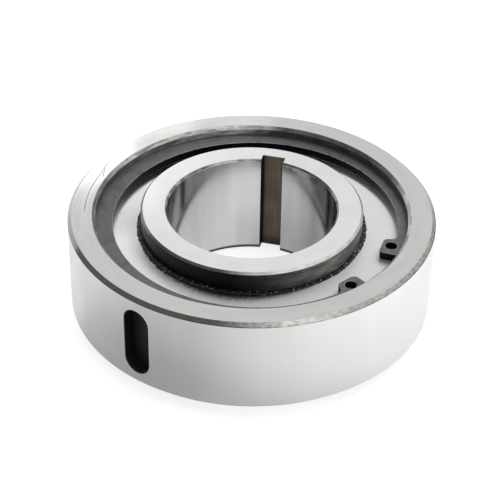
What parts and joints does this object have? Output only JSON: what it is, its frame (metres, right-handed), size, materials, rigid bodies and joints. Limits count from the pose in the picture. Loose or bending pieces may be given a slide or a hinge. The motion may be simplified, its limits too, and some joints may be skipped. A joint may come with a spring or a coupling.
{
  "type": "sprag clutch",
  "caption": "One-way clutch: keyed inner and outer steel rings with a full row of sprags between them, closed by cover plates and internal snap rings.",
  "frame": {"origin": "on the clutch axis at the lower end face of the inner ring", "axes": "+Z along the clutch axis, up out of the bore; the closed keyway in the outside faces -Y"},
  "size_m": [0.13, 0.13, 0.04],
  "materials": {
    "ground_ring_steel": "ground bearing steel, satin",
    "inner_ring_steel": "ground faces and bore, turned outside wall left dark by heat treatment",
    "cover_plate": "bright sheet steel, semi-polished",
    "phosphated_spring_steel": "dark phosphate with an oil film",
    "sprag_steel": "hardened and tumbled bearing steel",
    "spring_wire": "drawn spring wire, oiled",
    "grease": "bead of dark assembly grease"
  },
  "bodies": {
    "outer_ring_assembly": {"outer_ring": "ground_ring_steel", "top_cover": "cover_plate", "bottom_cover": "cover_plate", "top_snap_ring": "phosphated_spring_steel", "bottom_snap_ring": "phosphated_spring_steel", "top_garter_spring": "spring_wire", "bottom_garter_spring": "spring_wire"},
    "inner_ring": {"inner_ring": "inner_ring_steel"},
    "sprag_01": {"sprag_01": "sprag_steel"},
    "sprag_02": {"sprag_02": "sprag_steel"},
    "sprag_03": {"sprag_03": "sprag_steel"},
    "sprag_04": {"sprag_04": "sprag_steel"},
    "sprag_05": {"sprag_05": "sprag_steel"},
    "sprag_06": {"sprag_06": "sprag_steel"},
    "sprag_07": {"sprag_07": "sprag_steel"},
    "sprag_08": {"sprag_08": "sprag_steel"},
    "sprag_09": {"sprag_09": "sprag_steel"},
    "sprag_10": {"sprag_10": "sprag_steel"},
    "sprag_11": {"sprag_11": "sprag_steel"},
    "sprag_12": {"sprag_12": "sprag_steel"},
    "sprag_13": {"sprag_13": "sprag_steel"},
    "sprag_14": {"sprag_14": "sprag_steel"},
    "sprag_15": {"sprag_15": "sprag_steel"},
    "sprag_16": {"sprag_16": "sprag_steel"},
    "sprag_17": {"sprag_17": "sprag_steel"},
    "sprag_18": {"sprag_18": "sprag_steel"},
    "sprag_19": {"sprag_19": "sprag_steel"},
    "sprag_20": {"sprag_20": "sprag_steel"},
    "sprag_21": {"sprag_21": "sprag_steel"},
    "sprag_22": {"sprag_22": "sprag_steel"},
    "sprag_23": {"sprag_23": "sprag_steel"},
    "sprag_24": {"sprag_24": "sprag_steel"},
    "sprag_25": {"sprag_25": "sprag_steel"},
    "sprag_26": {"sprag_26": "sprag_steel"},
    "sprag_27": {"sprag_27": "sprag_steel"},
    "sprag_28": {"sprag_28": "sprag_steel"},
    "sprag_29": {"sprag_29": "sprag_steel"},
    "sprag_30": {"sprag_30": "sprag_steel"}
  },
  "joints": [
    {"name": "inner_ring_spin", "type": "hinge", "parent": "outer_ring_assembly", "child": "inner_ring", "pos_m": [0, 0, 0.02], "axis": [0, 0, 1], "continuous": true},
    {"name": "sprag_01_tilt", "type": "hinge", "parent": "outer_ring_assembly", "child": "sprag_01", "pos_m": [0.00027, 0.0468, 0.02064], "axis": [0, 0, -1], "range_deg": [0, 7], "stiffness_Nm_per_rad": 0.02},
    {"name": "sprag_02_tilt", "type": "hinge", "parent": "outer_ring_assembly", "child": "sprag_02", "pos_m": [-0.00946, 0.04583, 0.02064], "axis": [0, 0, -1], "range_deg": [0, 7]},
    {"name": "sprag_03_tilt", "type": "hinge", "parent": "outer_ring_assembly", "child": "sprag_03", "pos_m": [-0.01879, 0.04286, 0.02064], "axis": [0, 0, -1], "range_deg": [0, 7]},
    {"name": "sprag_04_tilt", "type": "hinge", "parent": "outer_ring_assembly", "child": "sprag_04", "pos_m": [-0.02729, 0.03802, 0.02064], "axis": [0, 0, -1], "range_deg": [0, 7]},
    {"name": "sprag_05_tilt", "type": "hinge", "parent": "outer_ring_assembly", "child": "sprag_05", "pos_m": [-0.0346, 0.03152, 0.02064], "axis": [0, 0, -1], "range_deg": [0, 7]},
    {"name": "sprag_06_tilt", "type": "hinge", "parent": "outer_ring_assembly", "child": "sprag_06", "pos_m": [-0.04039, 0.02364, 0.02064], "axis": [0, 0, -1], "range_deg": [0, 7]},
    {"name": "sprag_07_tilt", "type": "hinge", "parent": "outer_ring_assembly", "child": "sprag_07", "pos_m": [-0.04442, 0.01472, 0.02064], "axis": [0, 0, -1], "range_deg": [0, 7]},
    {"name": "sprag_08_tilt", "type": "hinge", "parent": "outer_ring_assembly", "child": "sprag_08", "pos_m": [-0.04651, 0.00516, 0.02064], "axis": [0, 0, -1], "range_deg": [0, 7]},
    {"name": "sprag_09_tilt", "type": "hinge", "parent": "outer_ring_assembly", "child": "sprag_09", "pos_m": [-0.04657, -0.00462, 0.02064], "axis": [0, 0, -1], "range_deg": [0, 7]},
    {"name": "sprag_10_tilt", "type": "hinge", "parent": "outer_ring_assembly", "child": "sprag_10", "pos_m": [-0.04459, -0.0142, 0.02064], "axis": [0, 0, -1], "range_deg": [0, 7]},
    {"name": "sprag_11_tilt", "type": "hinge", "parent": "outer_ring_assembly", "child": "sprag_11", "pos_m": [-0.04066, -0.02316, 0.02064], "axis": [0, 0, -1], "range_deg": [0, 7]},
    {"name": "sprag_12_tilt", "type": "hinge", "parent": "outer_ring_assembly", "child": "sprag_12", "pos_m": [-0.03496, -0.03111, 0.02064], "axis": [0, 0, -1], "range_deg": [0, 7]},
    {"name": "sprag_13_tilt", "type": "hinge", "parent": "outer_ring_assembly", "child": "sprag_13", "pos_m": [-0.02773, -0.0377, 0.02064], "axis": [0, 0, -1], "range_deg": [0, 7]},
    {"name": "sprag_14_tilt", "type": "hinge", "parent": "outer_ring_assembly", "child": "sprag_14", "pos_m": [-0.01928, -0.04264, 0.02064], "axis": [0, 0, -1], "range_deg": [0, 7]},
    {"name": "sprag_15_tilt", "type": "hinge", "parent": "outer_ring_assembly", "child": "sprag_15", "pos_m": [-0.01, -0.04572, 0.02064], "axis": [0, 0, -1], "range_deg": [0, 7]},
    {"name": "sprag_16_tilt", "type": "hinge", "parent": "outer_ring_assembly", "child": "sprag_16", "pos_m": [-0.00027, -0.0468, 0.02064], "axis": [0, 0, -1], "range_deg": [0, 7]},
    {"name": "sprag_17_tilt", "type": "hinge", "parent": "outer_ring_assembly", "child": "sprag_17", "pos_m": [0.00946, -0.04583, 0.02064], "axis": [0, 0, -1], "range_deg": [0, 7]},
    {"name": "sprag_18_tilt", "type": "hinge", "parent": "outer_ring_assembly", "child": "sprag_18", "pos_m": [0.01879, -0.04286, 0.02064], "axis": [0, 0, -1], "range_deg": [0, 7]},
    {"name": "sprag_19_tilt", "type": "hinge", "parent": "outer_ring_assembly", "child": "sprag_19", "pos_m": [0.02729, -0.03802, 0.02064], "axis": [0, 0, -1], "range_deg": [0, 7]},
    {"name": "sprag_20_tilt", "type": "hinge", "parent": "outer_ring_assembly", "child": "sprag_20", "pos_m": [0.0346, -0.03152, 0.02064], "axis": [0, 0, -1], "range_deg": [0, 7]},
    {"name": "sprag_21_tilt", "type": "hinge", "parent": "outer_ring_assembly", "child": "sprag_21", "pos_m": [0.04039, -0.02364, 0.02064], "axis": [0, 0, -1], "range_deg": [0, 7]},
    {"name": "sprag_22_tilt", "type": "hinge", "parent": "outer_ring_assembly", "child": "sprag_22", "pos_m": [0.04442, -0.01472, 0.02064], "axis": [0, 0, -1], "range_deg": [0, 7]},
    {"name": "sprag_23_tilt", "type": "hinge", "parent": "outer_ring_assembly", "child": "sprag_23", "pos_m": [0.04651, -0.00516, 0.02064], "axis": [0, 0, -1], "range_deg": [0, 7]},
    {"name": "sprag_24_tilt", "type": "hinge", "parent": "outer_ring_assembly", "child": "sprag_24", "pos_m": [0.04657, 0.00462, 0.02064], "axis": [0, 0, -1], "range_deg": [0, 7]},
    {"name": "sprag_25_tilt", "type": "hinge", "parent": "outer_ring_assembly", "child": "sprag_25", "pos_m": [0.04459, 0.0142, 0.02064], "axis": [0, 0, -1], "range_deg": [0, 7]},
    {"name": "sprag_26_tilt", "type": "hinge", "parent": "outer_ring_assembly", "child": "sprag_26", "pos_m": [0.04066, 0.02316, 0.02064], "axis": [0, 0, -1], "range_deg": [0, 7]},
    {"name": "sprag_27_tilt", "type": "hinge", "parent": "outer_ring_assembly", "child": "sprag_27", "pos_m": [0.03496, 0.03111, 0.02064], "axis": [0, 0, -1], "range_deg": [0, 7]},
    {"name": "sprag_28_tilt", "type": "hinge", "parent": "outer_ring_assembly", "child": "sprag_28", "pos_m": [0.02773, 0.0377, 0.02064], "axis": [0, 0, -1], "range_deg": [0, 7]},
    {"name": "sprag_29_tilt", "type": "hinge", "parent": "outer_ring_assembly", "child": "sprag_29", "pos_m": [0.01928, 0.04264, 0.02064], "axis": [0, 0, -1], "range_deg": [0, 7]},
    {"name": "sprag_30_tilt", "type": "hinge", "parent": "outer_ring_assembly", "child": "sprag_30", "pos_m": [0.01, 0.04572, 0.02064], "axis": [0, 0, -1], "range_deg": [0, 7]}
  ],
  "couplings": [
    {"joint": "sprag_02_tilt", "follows": "sprag_01_tilt", "ratio": 1},
    {"joint": "sprag_03_tilt", "follows": "sprag_01_tilt", "ratio": 1},
    {"joint": "sprag_04_tilt", "follows": "sprag_01_tilt", "ratio": 1},
    {"joint": "sprag_05_tilt", "follows": "sprag_01_tilt", "ratio": 1},
    {"joint": "sprag_06_tilt", "follows": "sprag_01_tilt", "ratio": 1},
    {"joint": "sprag_07_tilt", "follows": "sprag_01_tilt", "ratio": 1},
    {"joint": "sprag_08_tilt", "follows": "sprag_01_tilt", "ratio": 1},
    {"joint": "sprag_09_tilt", "follows": "sprag_01_tilt", "ratio": 1},
    {"joint": "sprag_10_tilt", "follows": "sprag_01_tilt", "ratio": 1},
    {"joint": "sprag_11_tilt", "follows": "sprag_01_tilt", "ratio": 1},
    {"joint": "sprag_12_tilt", "follows": "sprag_01_tilt", "ratio": 1},
    {"joint": "sprag_13_tilt", "follows": "sprag_01_tilt", "ratio": 1},
    {"joint": "sprag_14_tilt", "follows": "sprag_01_tilt", "ratio": 1},
    {"joint": "sprag_15_tilt", "follows": "sprag_01_tilt", "ratio": 1},
    {"joint": "sprag_16_tilt", "follows": "sprag_01_tilt", "ratio": 1},
    {"joint": "sprag_17_tilt", "follows": "sprag_01_tilt", "ratio": 1},
    {"joint": "sprag_18_tilt", "follows": "sprag_01_tilt", "ratio": 1},
    {"joint": "sprag_19_tilt", "follows": "sprag_01_tilt", "ratio": 1},
    {"joint": "sprag_20_tilt", "follows": "sprag_01_tilt", "ratio": 1},
    {"joint": "sprag_21_tilt", "follows": "sprag_01_tilt", "ratio": 1},
    {"joint": "sprag_22_tilt", "follows": "sprag_01_tilt", "ratio": 1},
    {"joint": "sprag_23_tilt", "follows": "sprag_01_tilt", "ratio": 1},
    {"joint": "sprag_24_tilt", "follows": "sprag_01_tilt", "ratio": 1},
    {"joint": "sprag_25_tilt", "follows": "sprag_01_tilt", "ratio": 1},
    {"joint": "sprag_26_tilt", "follows": "sprag_01_tilt", "ratio": 1},
    {"joint": "sprag_27_tilt", "follows": "sprag_01_tilt", "ratio": 1},
    {"joint": "sprag_28_tilt", "follows": "sprag_01_tilt", "ratio": 1},
    {"joint": "sprag_29_tilt", "follows": "sprag_01_tilt", "ratio": 1},
    {"joint": "sprag_30_tilt", "follows": "sprag_01_tilt", "ratio": 1}
  ]
}
